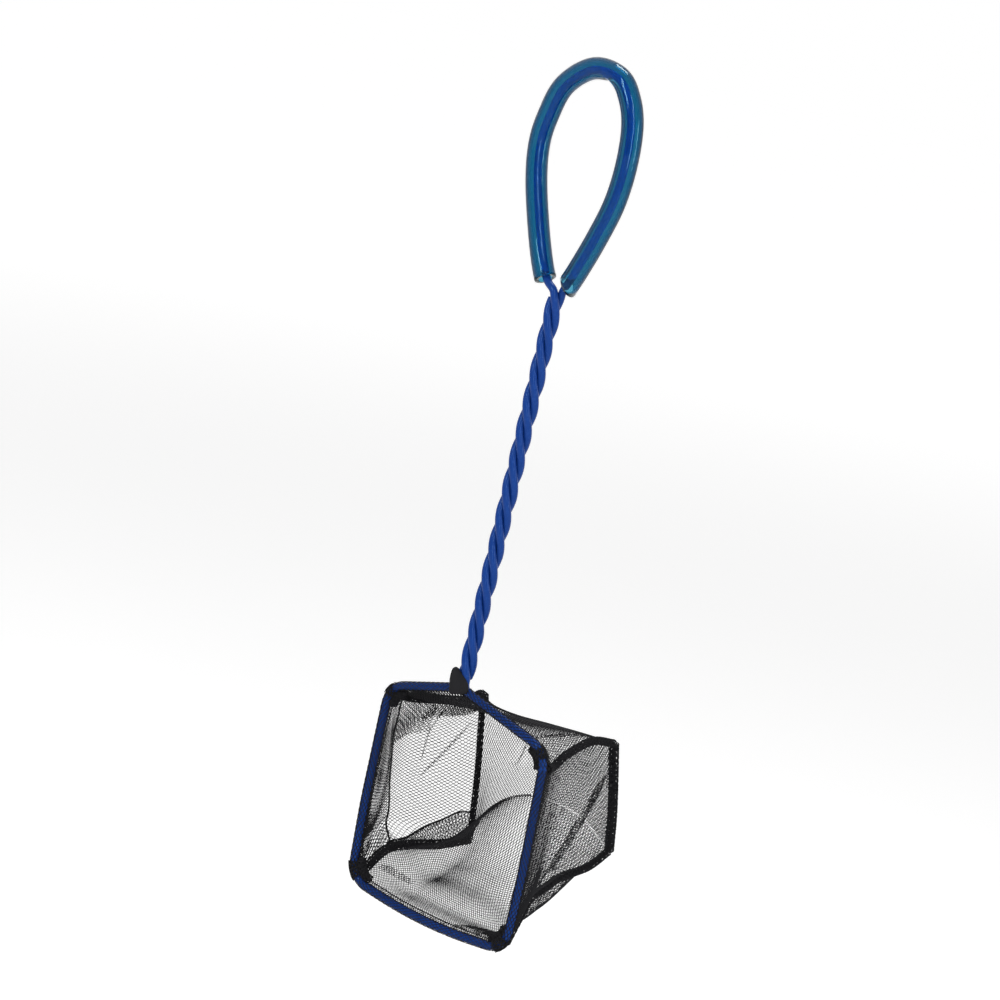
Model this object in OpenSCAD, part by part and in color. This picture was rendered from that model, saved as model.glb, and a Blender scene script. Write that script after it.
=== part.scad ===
// Aquarium fish net: one coated steel wire is bent into a hand loop, a stem of three
// twisted strands and a square hoop, and a bag of net is hemmed round the hoop.
// The origin is the hanging point, inside the top of the hand loop. +Z is up along the
// stem, X runs across the hoop, and the bag reaches back from the hoop along +Y.

/* [Wire] */
// Diameter of the wire over its coating
wire_d = 2.8; // [2.4:0.1:3.4]
// Diameter of the steel core
core_d = 1.9; // [1.2:0.1:2.2]

/* [Stem] */
// Height of the stem, from the foot at the hoop to the junction under the hand loop
stem_len = 142; // [90:1:220]
// Rise of a strand in one turn, before it is fitted to a whole number of half turns
twist_pitch = 31; // [24:0.5:44]
// Distance that the stem's top leans to the right of its foot
stem_lean = 5.8; // [0:0.1:8]
// Bend radius where the strands turn out of the stem into the hoop
foot_bend_r = 2.8; // [2.5:0.1:4]

/* [Hand loop] */
// Height of the loop's wire above the junction
loop_len = 76; // [65:1:95]
// Width of the loop between the wire's centres
loop_w = 38.8; // [34:0.2:48]

/* [Grip tube] */
// Wall of the vinyl tube
tube_wall = 1.4; // [1:0.1:1.8]
// Looseness of the tube on the wire, on the diameter
tube_play = 2; // [1.4:0.1:2.6]
// Height of the tube's left end above the junction
tube_left_rise = 3.6; // [3:0.1:8]
// Height of the tube's right end above the junction
tube_right_rise = 3; // [2.6:0.1:8]
// Distance that the right end's outer side is cut longer than its inner side
tube_slant = 3; // [0:0.1:4]

/* [Hoop] */
// Width between the centres of the side bars
hoop_w = 76; // [60:1:90]
// Height of the side bars' corners above the bottom bar
hoop_h = 71.4; // [55:0.2:85]
// Height of the stem's foot above the upper corners
hoop_rise = 9.4; // [4:0.2:14]
// Distance of the hoop's middle to the right of the stem's foot
hoop_shift = 4.5; // [0:0.1:8]
// Bend radius of the four corners
corner_r = 9; // [6:0.5:12]
// Distance that the side bars bow outwards
side_bow = 0.8; // [0.2:0.1:2]
// Distance that the bottom bar bows downwards
low_bow = 4; // [0.2:0.1:6]

/* [Bag] */
// Depth of the top wall, from the hoop to the back wall
bag_top_depth = 42.5; // [30:0.5:60]
// Depth of the bottom wall
bag_low_depth = 53; // [35:1:70]
// Width of the back wall
back_w = 63.5; // [45:0.5:74]
// Height of the back wall at its middle
back_h = 48; // [38:0.5:62]
// Distance that the back wall's top edge lies below the hoop's upper corners
back_drop = 2; // [0:0.1:6]
// Distance that the back wall's lower left corner hangs below the right one
bag_slump = 17.5; // [0:0.5:20]
// Height that the fold between the back and bottom walls rises to at its middle
fold_rise = 16; // [0:0.5:20]
// Distances that the bottom wall and the two side walls swell at their middles
net_sag = 5; // [0:0.1:8]
left_slack = 6; // [0:0.1:8]
right_slack = 2; // [0:0.1:5]
// Plain openings that stand for the mesh: how many across a wall and how many deep, and
// the width of net between them
holes_across = 4; // [2:1:6]
holes_deep = 3; // [2:1:4]
net_rib = 3; // [2:0.1:5]
// Thickness of the net
net_t = 0.6; // [0.4:0.05:0.8]
// Clearance between the wire and the hem that is folded round it
hem_gap = 0.25; // [0.15:0.05:0.5]
// Thickness of the bound seams
seam_d = 2.6; // [2:0.1:3.4]
// Clearance between a seam and the walls that it joins
seam_gap = 0.2; // [0.15:0.05:0.4]

/* [Hidden] */

// Gap left between neighbouring strands, and between the core and its coating
strand_gap = 0.06;
core_gap = 0.02;
// Sides of the wire's section, of the tube's and of the seams'
wire_sides = 8;
tube_sides = 12;
seam_sides = 8;
// Rings for each turn of a strand, and turning angle for each ring of a bend
turn_rings = 8;
bend_step = 20;

wire_r = wire_d / 2;
tube_bore_r = (wire_d + tube_play) / 2;
tube_r = tube_bore_r + tube_wall;
// The wire lies off the tube's centre, towards the inside of the loop
tube_sit_share = 0.6;
tube_sit = tube_sit_share * tube_play / 2;

// Levels of the loop's wire, of the junction and of the stem's foot
loop_top_z = tube_r - tube_sit;
junction_z = loop_top_z - loop_len;
foot_z = junction_z - stem_len;
junction = [0, 0, junction_z];
foot = [-stem_lean, 0, foot_z];

// Small vector helpers
function unit(v) = v / norm(v);
function mix(a, b, t) = a + (b - a) * t;

// The stem: three strands wound left-handed round a leaning axis, above a short run at
// the foot where they turn. A strand's radius keeps neighbours apart, allowing for their
// slant and for the flats between rings.
foot_run_share = 1.4;
foot_run = foot_run_share * foot_bend_r;
wound_len = stem_len - foot_run;
stem_turns = floor(wound_len / twist_pitch) + 0.5;
slant_share = 2 * PI * wire_d / sqrt(3) / (wound_len / stem_turns);
strand_r = (wire_d + strand_gap) / sqrt(3) / sqrt(1 - pow(slant_share, 2) / 4)
    / cos(180 / turn_rings);
stem_rings = round(stem_turns * turn_rings);
// Angles of the three strands at the junction: to the loop's left, to its right, cut end
front_angle = 270;
right_angle = 30;
end_angle = 150;

// Centre of a strand: share 0 is where it leaves the foot's bend, 1 is the junction
function strand_at(angle, share) =
    let(turn = angle + 360 * stem_turns * (1 - share),
        rise = foot_run / stem_len + share * wound_len / stem_len)
    mix(foot, junction, rise) + strand_r * [cos(turn), sin(turn), 0];
function strand(angle, from, to, rings) =
    [for (i = [0:rings]) strand_at(angle, mix(from, to, i / rings))];

// The hand loop: shares of half its width and of its height, up the left and over
loop_shares = [[-0.26, 0.05], [-0.6, 0.2], [-0.95, 0.44], [-1.07, 0.61], [-1, 0.745],
    [-0.77, 0.89], [-0.21, 0.99], [0.38, 0.975], [0.68, 0.895], [0.88, 0.785],
    [0.92, 0.62], [0.83, 0.445], [0.58, 0.265], [0.32, 0.12]];
// The strands leave the stem in front of and behind the loop's plane, and reach the
// plane at this share of the loop's height
plane_share = 0.3;
function loop_point(s) =
    let(side = s[0] < 0 ? strand_at(front_angle, 1) : strand_at(right_angle, 1),
        near = max(0, 1 - s[1] / plane_share))
    [s[0] * loop_w / 2, side[1] * near * near, junction_z + s[1] * loop_len];

// Smooth curve through points, with steps to a span
function spline_at(a, b, c, d, t) =
    (2 * b + (c - a) * t + (2 * a - 5 * b + 4 * c - d) * t * t
        + (3 * b - a - 3 * c + d) * t * t * t) / 2;
function spline(p, steps) =
    [for (i = [1:len(p) - 3], k = [0:steps - 1])
        spline_at(p[i - 1], p[i], p[i + 1], p[i + 2], k / steps)];

left_strand = strand(front_angle, 0, 1, stem_rings);
right_strand = strand(right_angle, 1, 0, stem_rings);
loop_keys = concat([left_strand[stem_rings - 2], left_strand[stem_rings]],
    [for (s = loop_shares) loop_point(s)], [right_strand[0], right_strand[2]]);
loop_path = spline(loop_keys, 2);

// The hoop: a square with bent corners under a low roof that rises to the foot. The
// side bars bow out most at this share of their height, and the bottom bar at its
// middle, in wide bends.
bow_level_share = 0.6;
bow_radius_share = 3;
hoop_x = foot[0] + hoop_shift;
shoulder_z = foot_z - hoop_rise;
hoop_bottom_z = shoulder_z - hoop_h;
bow_z = mix(shoulder_z, hoop_bottom_z, bow_level_share);
top_left = [hoop_x - hoop_w / 2, 0, shoulder_z];
top_right = [hoop_x + hoop_w / 2, 0, shoulder_z];
low_left = [hoop_x - hoop_w / 2, 0, hoop_bottom_z];
low_right = [hoop_x + hoop_w / 2, 0, hoop_bottom_z];
bow_left = [top_left[0] - side_bow, 0, bow_z];
bow_right = [top_right[0] + side_bow, 0, bow_z];
bow_low = [hoop_x, 0, hoop_bottom_z - low_bow];
bow_r = bow_radius_share * hoop_h;

// The strands' ends at the foot, and the points where they turn into the hoop
left_end = strand_at(right_angle, 0);
right_end = strand_at(end_angle, 0);
left_turn = [left_end[0], left_end[1], foot_z];
right_turn = [right_end[0], right_end[1], foot_z];

// An arc of radius r that rounds the bend at b on the way from a to c
function bend(a, b, c, r) =
    let(u = unit(a - b), w = unit(c - b),
        half = acos(u * w) / 2,
        inward = unit(u + w), across = unit(w - u),
        centre = b + inward * r / sin(half),
        steps = max(2, 2 * ceil((90 - half) / bend_step)))
    [for (i = [0:steps])
        let(t = mix(half - 90, 90 - half, i / steps))
        centre - inward * r * cos(t) + across * r * sin(t)];
hoop_keys = [left_end, left_turn, top_left, bow_left, low_left, bow_low, low_right,
    bow_right, top_right, right_turn, right_end];
hoop_radii = [foot_bend_r, corner_r, bow_r, corner_r, bow_r, corner_r, bow_r, corner_r,
    foot_bend_r];
hoop_bends = [for (i = [1:len(hoop_keys) - 2])
    bend(hoop_keys[i - 1], hoop_keys[i], hoop_keys[i + 1], hoop_radii[i - 1])];
hoop_path = [for (b = hoop_bends) each b];

// The whole wire, from its cut end behind the foot to its cut end under the junction,
// which stops at this share of the wound length
end_stop_share = 0.982;
wire_path = concat(
    [for (i = [0:stem_rings - 1]) left_strand[i]],
    loop_path,
    right_strand,
    hoop_path,
    strand(end_angle, 0, end_stop_share, stem_rings));

// Frame of a path at point i: along it, across it in the loop's plane, and the third
function along(p, i) = unit(p[min(i + 1, len(p) - 1)] - p[max(i - 1, 0)]);
function across(p, i) = unit(cross([0, 1, 0], along(p, i)));
function ring(p, i, r, sides, slant = 0) =
    let(t = along(p, i), e = across(p, i), f = cross(t, e))
    [for (k = [0:sides - 1])
        let(a = 360 * k / sides)
        p[i] + e * r * cos(a) + f * r * sin(a) + t * slant * cos(a)];

// Skin between successive rings of one tube, whose points start at index o
function skin(rings, sides, o, out) =
    [for (i = [0:rings - 2], k = [0:sides - 1])
        let(a = o + i * sides + k, b = o + i * sides + (k + 1) % sides,
            c = a + sides, d = b + sides)
        each out ? [[a, c, d], [a, d, b]] : [[a, d, c], [a, b, d]]];

// Solid rod of changing radius along a path
module rod(p, radii, sides) {
    n = len(p);
    ends = [for (k = [1:sides - 2]) [0, k, k + 1]];
    last = (n - 1) * sides;
    polyhedron(
        points = [for (i = [0:n - 1]) each ring(p, i, radii[i], sides)],
        faces = concat(skin(n, sides, 0, true), ends,
            [for (f = ends) [last + f[0], last + f[2], last + f[1]]]));
}

// Open pipe along a path, with the slant of its first and last cuts
module pipe(p, r_out, r_in, sides, slants = [0, 0]) {
    n = len(p);
    cut = [for (i = [0:n - 1]) i == 0 ? slants[0] : i == n - 1 ? slants[1] : 0];
    inner = n * sides;
    last = (n - 1) * sides;
    polyhedron(
        points = concat(
            [for (i = [0:n - 1]) each ring(p, i, r_out, sides, cut[i])],
            [for (i = [0:n - 1]) each ring(p, i, r_in, sides, cut[i])]),
        faces = concat(skin(n, sides, 0, true), skin(n, sides, inner, false),
            [for (k = [0:sides - 1])
                let(a = k, b = (k + 1) % sides, c = inner + a, d = inner + b)
                each [[a, b, d], [a, d, c]]],
            [for (k = [0:sides - 1])
                let(a = last + k, b = last + (k + 1) % sides, c = inner + a, d = inner + b)
                each [[a, d, b], [a, c, d]]]));
}

module wire_coating() {
    color("#1b3d9c") pipe(wire_path, wire_r, core_d / 2 + core_gap, wire_sides);
}

module wire_core() {
    color("silver")
        rod(wire_path, [for (p = wire_path) core_d / 2], wire_sides);
}

// The tube keeps to the loop's wire, but lies further out by its seat on the wire
tube_wire = [for (p = loop_path)
    if (p[2] > junction_z + (p[0] < 0 ? tube_left_rise : tube_right_rise)) p];
tube_path = [for (i = [0:len(tube_wire) - 1]) tube_wire[i] - across(tube_wire, i) * tube_sit];

module grip_tube() {
    color("#1577a8", 0.6)
        pipe(tube_path, tube_r, tube_bore_r, tube_sides, [0, -tube_slant / 2]);
}

// Lengths along a path, and the point and outward direction at a length along it
function lengths(p) =
    [for (i = 0, s = 0; i < len(p);
        s = s + (i + 1 < len(p) ? norm(p[i + 1] - p[i]) : 0), i = i + 1) s];
function place(p, ls, s) =
    let(i = max([0, for (k = [0:len(p) - 2]) if (ls[k] <= s) k]))
    mix(p[i], p[i + 1], (s - ls[i]) / (ls[i + 1] - ls[i]));
function outward(p, ls, s, step) =
    let(a = place(p, ls, max(0, s - step)),
        b = place(p, ls, min(ls[len(ls) - 1], s + step)))
    unit(cross([0, 1, 0], [b[0] - a[0], 0, b[2] - a[2]]));

// The hoop's four bars, each from the middle of one corner's bend to the next
function first_half(b) = [for (i = [0:(len(b) - 1) / 2]) b[i]];
function last_half(b) = [for (i = [(len(b) - 1) / 2:len(b) - 1]) b[i]];
function turned(p) = [for (i = [len(p) - 1:-1:0]) p[i]];
top_bar = concat(turned(concat([hoop_bends[0][len(hoop_bends[0]) - 1]],
    first_half(hoop_bends[1]))),
    turned(concat(last_half(hoop_bends[7]), [hoop_bends[8][0]])));
left_bar = concat(last_half(hoop_bends[1]), hoop_bends[2], first_half(hoop_bends[3]));
bottom_bar = concat(last_half(hoop_bends[3]), hoop_bends[4], first_half(hoop_bends[5]));
right_bar = concat(last_half(hoop_bends[5]), hoop_bends[6], first_half(hoop_bends[7]));

// Corners of the bag's back wall
back_top_z = shoulder_z - back_drop;
back_low_z = back_top_z - back_h;
back_left_x = hoop_x - back_w / 2;
back_right_x = hoop_x + back_w / 2;
back_tl = [back_left_x, bag_top_depth, back_top_z];
back_tr = [back_right_x, bag_top_depth, back_top_z];
back_ll = [back_left_x, bag_low_depth, back_low_z - bag_slump / 2];
back_lr = [back_right_x, bag_low_depth, back_low_z + bag_slump / 2];

// The hem's section round the wire, in shares of its radius: back and outward. It runs
// from the stitched edge inside, under and round the wire, to where the wall leaves it.
hem_r = wire_r + hem_gap + net_t / 2;
hem_shares = [[1.75, -0.35], [0.75, -0.85], [0, -1], [-0.8, -0.6], [-1, 0],
    [-0.7, 0.75], [0, 1], [0.85, 0.8], [1.85, 0.25]];
hem_rows = len(hem_shares);
function hem_point(p, ls, s, share) =
    place(p, ls, s) + [0, share[0] * hem_r, 0] + outward(p, ls, s, wire_d) * share[1] * hem_r;

// A wall's rows between the hem and its back edge: ribs, with openings between them
wall_rows = 2 * holes_deep + 1;
seam_inset = seam_d / 2 + seam_gap + net_t / 2;
rib_row = net_rib / bag_low_depth;
hole_row = (1 - (holes_deep + 1) * rib_row) / holes_deep;
function row_share(r) = ceil(r / 2) * rib_row + floor(r / 2) * hole_row;

// Columns across a wall: a few close ones round each corner's bend, and between them
// openings with ribs
bend_columns = 3;
wall_columns = 2 * bend_columns + 2 * holes_across - 1;
bend_share = (corner_r * PI / 4 - seam_inset) / hoop_w;
rib_column = net_rib / hoop_w;
hole_column = (1 - 2 * bend_share - (holes_across - 1) * rib_column) / holes_across;
function column_share(c) =
    let(i = c - bend_columns)
    c <= bend_columns ? bend_share * c / bend_columns
    : c >= wall_columns - bend_columns ? 1 - column_share(wall_columns - c)
    : bend_share + ceil(i / 2) * hole_column + floor(i / 2) * rib_column;
function is_hole(r, c) =
    r > 0 && r < wall_rows && r % 2 == 1
    && c >= bend_columns && c < wall_columns - bend_columns && (c - bend_columns) % 2 == 0;
even_shares = [for (c = [0:wall_columns]) column_share(c)];
function inset(a, b, t) =
    let(share = seam_inset / norm(b - a)) mix(a, b, mix(share, 1 - share, t));
function bar_hem(p, shares, turn = false) =
    let(ls = lengths(p), end = ls[len(ls) - 1])
    [for (share = hem_shares)
        [for (t = shares)
            let(s = mix(seam_inset, end - seam_inset, t))
            hem_point(p, ls, turn ? end - s : s, share)]];

// The top bar's hem is open in front of the stem, over one column of its own width,
// and the columns to either side of that are fitted to it
foot_gap = 0.6;
open_column = bend_columns + 2 * floor(holes_across / 2 - 0.5);
top_lengths = lengths(top_bar);
foot_column = len(first_half(hoop_bends[1]));
foot_length = mix(top_lengths[foot_column], top_lengths[foot_column + 1], 0.5);
open_half = strand_r + wire_r + foot_gap;
function top_share(s) =
    (s - seam_inset) / (top_lengths[len(top_lengths) - 1] - 2 * seam_inset);
open_from = top_share(foot_length - open_half);
open_to = top_share(foot_length + open_half);
function fitted(share, from, to, at) =
    from + (share - from) * (at - from) / (to - from);
top_shares = [for (c = [0:wall_columns])
    let(share = column_share(c))
    c <= bend_columns || c >= wall_columns - bend_columns ? share
    : c <= open_column ? fitted(share, bend_share, column_share(open_column), open_from)
    : fitted(share, 1 - bend_share, column_share(open_column + 1), open_to)];
// Rows between two edges, swollen from the straight lines by a vector at the middle
function between(a, b, swell) =
    [for (r = [1:wall_rows - 1])
        let(v = row_share(r))
        [for (c = [0:len(a) - 1])
            let(u = column_share(c))
            mix(a[c], b[c], v) + swell * 16 * u * (1 - u) * v * (1 - v)]];
function edge(a, b, rise = 0) =
    [for (c = [0:wall_columns])
        let(u = column_share(c))
        inset(a, b, u) + [0, 0, 4 * rise * u * (1 - u)]];

// The strip of net, from the hem of the top bar over the back to the bottom bar's hem
top_hem = bar_hem(top_bar, top_shares);
low_hem = turned(bar_hem(bottom_bar, even_shares));
top_edge = edge(back_tl, back_tr);
low_edge = edge(back_ll, back_lr, fold_rise);
strip = concat(top_hem,
    between(top_hem[hem_rows - 1], top_edge, [0, 0, 0]), [top_edge],
    between(top_edge, low_edge, [0, 0, 0]), [low_edge],
    between(low_edge, low_hem[0], [0, 0, -net_sag]), low_hem);
top_fold = hem_rows + wall_rows - 1;
low_fold = top_fold + wall_rows;

// The two side walls, from the hem of a side bar to the back wall's edge
function side_wall(hem, a, b, slack) =
    let(back = [for (p = edge(a, b)) p - [0, seam_inset, 0]])
    concat(hem, between(hem[hem_rows - 1], back, [slack, 0, 0]), [back]);
left_wall = side_wall(bar_hem(left_bar, even_shares), back_tl, back_ll, -left_slack);
right_wall = side_wall(bar_hem(right_bar, even_shares, true), back_tr, back_lr, right_slack);

// Direction square to a grid of points
function square_to(g, r, c) =
    let(right = g[r][min(c + 1, len(g[0]) - 1)] - g[r][max(c - 1, 0)],
        down = g[min(r + 1, len(g) - 1)][c] - g[max(r - 1, 0)][c])
    unit(cross(right, down));

// Sheet of net over rows a to b of a grid. The wall, which is open as a grid, starts at
// a row of the sheet, and one column can be left out of the rows before that.
module sheet(g, a, b, wall_start, gap_column = -1) {
    rows = b - a;
    columns = len(g[0]) - 1;
    wide = columns + 1;
    under = (rows + 1) * wide;
    function kept(r, c) = r >= 0 && r < rows && c >= 0 && c < columns
        && (r >= wall_start || c != gap_column) && !is_hole(r - wall_start, c);
    function wall(p, q) = [[p, q, q + under], [p, q + under, p + under]];
    function far_wall(p, q) = [[p, q, p + under], [q, q + under, p + under]];
    polyhedron(
        points = [for (side = [1, -1], r = [a:b], c = [0:columns])
            g[r][c] + square_to(g, r, c) * side * net_t / 2],
        faces = [for (r = [0:rows - 1], c = [0:columns - 1]) if (kept(r, c))
            let(p = r * wide + c, q = p + 1, s = p + wide, t = s + 1)
            each concat([[p, t, q], [p, s, t],
                [p + under, q + under, t + under], [p + under, t + under, s + under]],
                kept(r - 1, c) ? [] : wall(p, q), kept(r, c + 1) ? [] : wall(q, t),
                kept(r + 1, c) ? [] : far_wall(t, s), kept(r, c - 1) ? [] : wall(s, p))]);
}

module net_top() {
    color("#26262a") sheet(strip, 0, top_fold, hem_rows - 1, open_column);
}

module net_back() {
    color("#26262a") sheet(strip, top_fold, low_fold, 0);
}

module net_bottom() {
    color("#26262a") sheet(strip, low_fold, len(strip) - 1, 0);
}

module net_left() {
    color("#26262a") sheet(left_wall, 0, len(left_wall) - 1, hem_rows - 1);
}

module net_right() {
    color("#26262a") sheet(right_wall, 0, len(right_wall) - 1, hem_rows - 1);
}

// A seam runs back from the hoop's corner, down the back wall and forward again. It
// starts behind the hem and bends by shares of its own thickness.
seam_start_share = 1.4;
seam_bend_share = 0.6;
seam_start = hem_r + net_t / 2 + seam_start_share * seam_d;
back_bend_r = seam_bend_share * seam_d;
function middle(b) = b[(len(b) - 1) / 2];
function seam_path(upper, a, b, lower) =
    let(start = middle(upper) + [0, seam_start, 0], end = middle(lower) + [0, seam_start, 0])
    concat([start, mix(start, a, 0.5)], bend(start, a, b, back_bend_r),
        [mix(a, b, 0.5)], bend(a, b, end, back_bend_r), [mix(b, end, 0.5), end]);

module seam(p) {
    color("#121214") rod(p, [for (q = p) seam_d / 2], seam_sides);
}

module seam_left() {
    seam(seam_path(hoop_bends[1], back_tl, back_ll, hoop_bends[3]));
}

module seam_right() {
    seam(seam_path(hoop_bends[7], back_tr, back_lr, hoop_bends[5]));
}

// The seams' ends are turned over the wire in the middle of each corner
function slice(p, s, half) =
    let(ls = lengths(p))
    [for (k = [-1:1]) place(p, ls, s + k * half)];
module seam_end(b) {
    ls = lengths(b);
    p = slice(b, ls[len(ls) - 1] / 2, seam_inset - 2 * seam_gap);
    pipe(p, hem_r + net_t, wire_r + hem_gap, seam_sides);
}

module seam_ends() {
    color("#121214")
        for (i = [1, 3, 5, 7]) seam_end(hoop_bends[i]);
}

// The bunched end of the top hem climbs beside the stem's foot
gather_shares = [[-5.1, 0.66], [-3.7, 0.96], [-3.1, 1.82], [-3.05, 2.65]];
gather_radius_shares = [0.5, 0.8, 0.8, 0.4];
module hem_gather() {
    color("#121214")
        rod([for (s = gather_shares) foot + [s[0] * wire_r, -wire_r / 2, s[1] * wire_d]],
            [for (s = gather_radius_shares) s * wire_r], seam_sides);
}

wire_coating();
wire_core();
grip_tube();
net_top();
net_back();
net_bottom();
net_left();
net_right();
seam_left();
seam_right();
seam_ends();
hem_gather();
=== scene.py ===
import bpy
import numpy as np
from mathutils import Matrix


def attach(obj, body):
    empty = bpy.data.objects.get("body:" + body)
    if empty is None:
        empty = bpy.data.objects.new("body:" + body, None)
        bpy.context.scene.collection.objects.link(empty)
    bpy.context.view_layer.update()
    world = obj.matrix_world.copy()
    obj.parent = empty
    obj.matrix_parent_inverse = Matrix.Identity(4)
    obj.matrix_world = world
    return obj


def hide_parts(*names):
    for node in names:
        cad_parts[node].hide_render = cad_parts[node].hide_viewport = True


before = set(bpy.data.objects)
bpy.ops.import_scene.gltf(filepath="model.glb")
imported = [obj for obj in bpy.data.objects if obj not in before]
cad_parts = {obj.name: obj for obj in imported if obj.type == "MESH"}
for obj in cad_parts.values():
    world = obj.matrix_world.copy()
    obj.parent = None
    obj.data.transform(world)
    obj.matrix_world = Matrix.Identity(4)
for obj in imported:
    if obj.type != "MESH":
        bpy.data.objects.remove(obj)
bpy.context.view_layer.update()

# The view. The net hangs from its hand loop, and the camera looks at it from the front
# and the right, a little from above, and leans so that the stem tilts to the right.
mm = 0.001
scene = bpy.context.scene
scene.view_settings.view_transform = "Standard"

camera_turn, camera_rise, camera_lean = np.radians([41, 9.94, 11.62])
camera_distance = 1200 * mm
camera_aim = np.array([-6.4, 0, -147.4]) * mm
film_width = 36
picture_width = 1000
focus_in_pixels = 3500.9
nearest_seen = 10 * mm

towards = np.array([np.sin(camera_turn) * np.cos(camera_rise),
                    -np.cos(camera_turn) * np.cos(camera_rise), np.sin(camera_rise)])
level = np.array([np.cos(camera_turn), np.sin(camera_turn), 0])
upright = np.cross(towards, level)
across_picture = level * np.cos(camera_lean) + upright * np.sin(camera_lean)
up_picture = upright * np.cos(camera_lean) - level * np.sin(camera_lean)

camera_data = bpy.data.cameras.new("camera")
camera_data.sensor_width = film_width
camera_data.lens = film_width * focus_in_pixels / picture_width
camera_data.clip_start = nearest_seen
camera = bpy.data.objects.new("camera", camera_data)
camera_frame = np.eye(4)
camera_frame[:3, :3] = np.stack([across_picture, up_picture, towards], axis=1)
camera_frame[:3, 3] = camera_aim + towards * camera_distance
camera.matrix_world = Matrix(camera_frame.tolist())
scene.collection.objects.link(camera)
scene.camera = camera

# The studio: a pale floor below the hanging net, a white room whose front half shows less
# in gloss, three softboxes, of which the key hangs high on the camera's left, and a strip
# lamp near the camera.
floor_z = -360 * mm
floor_half = 6.0
floor_mesh = bpy.data.meshes.new("floor")
floor_corners = [(-floor_half, -floor_half, floor_z), (floor_half, -floor_half, floor_z),
                 (floor_half, floor_half, floor_z), (-floor_half, floor_half, floor_z)]
floor_mesh.from_pydata(floor_corners, [], [(0, 1, 2, 3)])
floor = bpy.data.objects.new("floor", floor_mesh)
scene.collection.objects.link(floor)


def calculated(tree, operation, first, second):
    """Output of a Math node on two outputs."""
    step = tree.nodes.new("ShaderNodeMath")
    step.operation = operation
    tree.links.new(first, step.inputs[0])
    tree.links.new(second, step.inputs[1])
    return step.outputs[0]


def seen_directly(tree, gloss_share=None):
    """One where a ray comes from the camera, or by way of gloss or glass, else nothing.
    The gloss is held back by a share, where one is given."""
    path = tree.nodes.new("ShaderNodeLightPath")
    gloss = path.outputs["Is Glossy Ray"]
    if gloss_share:
        gloss = calculated(tree, "MULTIPLY", gloss, gloss_share)
    glass = calculated(tree, "MAXIMUM", gloss, path.outputs["Is Transmission Ray"])
    return calculated(tree, "MAXIMUM", glass, path.outputs["Is Camera Ray"])


floor_material = bpy.data.materials.new("pale_floor")
floor_material.use_nodes = True
floor_tree = floor_material.node_tree
floor_shader = floor_tree.nodes["Principled BSDF"]
floor_shader.inputs["Base Color"].default_value = (0.86, 0.86, 0.86, 1)
floor_shader.inputs["Roughness"].default_value = 0.9
floor_shader.inputs["Specular IOR Level"].default_value = 0.1
floor_shader.inputs["Emission Color"].default_value = (1, 1, 1, 1)

# Where the floor is seen, it is topped up to white, and more so further out.
floor_place = floor_tree.nodes.new("ShaderNodeTexCoord")
floor_reach = floor_tree.nodes.new("ShaderNodeVectorMath")
floor_reach.operation = "LENGTH"
floor_top_up = floor_tree.nodes.new("ShaderNodeMapRange")
floor_top_up.interpolation_type = "SMOOTHSTEP"
floor_top_up.inputs["From Min"].default_value = 0.36
floor_top_up.inputs["From Max"].default_value = 2.4
floor_top_up.inputs["To Min"].default_value = 0.30
floor_top_up.inputs["To Max"].default_value = 0.60
floor_tree.links.new(floor_place.outputs["Object"], floor_reach.inputs[0])
floor_tree.links.new(floor_reach.outputs["Value"], floor_top_up.inputs["Value"])
floor_glow = calculated(floor_tree, "MULTIPLY", floor_top_up.outputs["Result"],
                        seen_directly(floor_tree))
floor_tree.links.new(floor_glow, floor_shader.inputs["Emission Strength"])
floor_mesh.materials.append(floor_material)

# The room lights the net at the room light, and is seen white. In gloss it is white
# behind the net and falls to the room light in front of it.
room_light = 0.45
room = bpy.data.worlds.new("white_room")
room.use_nodes = True
room_tree = room.node_tree
room_back = room_tree.nodes["Background"]
room_back.inputs["Color"].default_value = (1, 1, 1, 1)
room_strength = room_tree.nodes.new("ShaderNodeMapRange")
room_strength.inputs["To Min"].default_value = room_light
room_strength.inputs["To Max"].default_value = 1.0
room_place = room_tree.nodes.new("ShaderNodeTexCoord")
room_side = room_tree.nodes.new("ShaderNodeVectorMath")
room_side.operation = "DOT_PRODUCT"
room_side.inputs[1].default_value = towards
room_back_share = room_tree.nodes.new("ShaderNodeMapRange")
room_back_share.inputs["From Min"].default_value = 0.6
room_back_share.inputs["From Max"].default_value = -0.2
room_tree.links.new(room_place.outputs["Generated"], room_side.inputs[0])
room_tree.links.new(room_side.outputs["Value"], room_back_share.inputs["Value"])
room_tree.links.new(seen_directly(room_tree, room_back_share.outputs["Result"]),
                    room_strength.inputs["Value"])
room_tree.links.new(room_strength.outputs["Result"], room_back.inputs["Strength"])
scene.world = room


def softbox(name, side, height, out, width, tall, power):
    """A rectangular lamp at side, height and distance out of the picture, in metres from
    the camera's aim, turned to face it."""
    lamp_data = bpy.data.lights.new(name, "AREA")
    lamp_data.shape = "RECTANGLE"
    lamp_data.size, lamp_data.size_y = width, tall
    lamp_data.energy = power
    lamp = bpy.data.objects.new(name, lamp_data)
    away = level * side + np.array([0, 0, height]) + towards * out
    back = away / np.linalg.norm(away)
    right = np.cross([0, 0, 1], back)
    right /= np.linalg.norm(right)
    lamp_frame = np.eye(4)
    lamp_frame[:3, :3] = np.stack([right, np.cross(back, right), back], axis=1)
    lamp_frame[:3, 3] = camera_aim + away
    lamp.matrix_world = Matrix(lamp_frame.tolist())
    scene.collection.objects.link(lamp)


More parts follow.
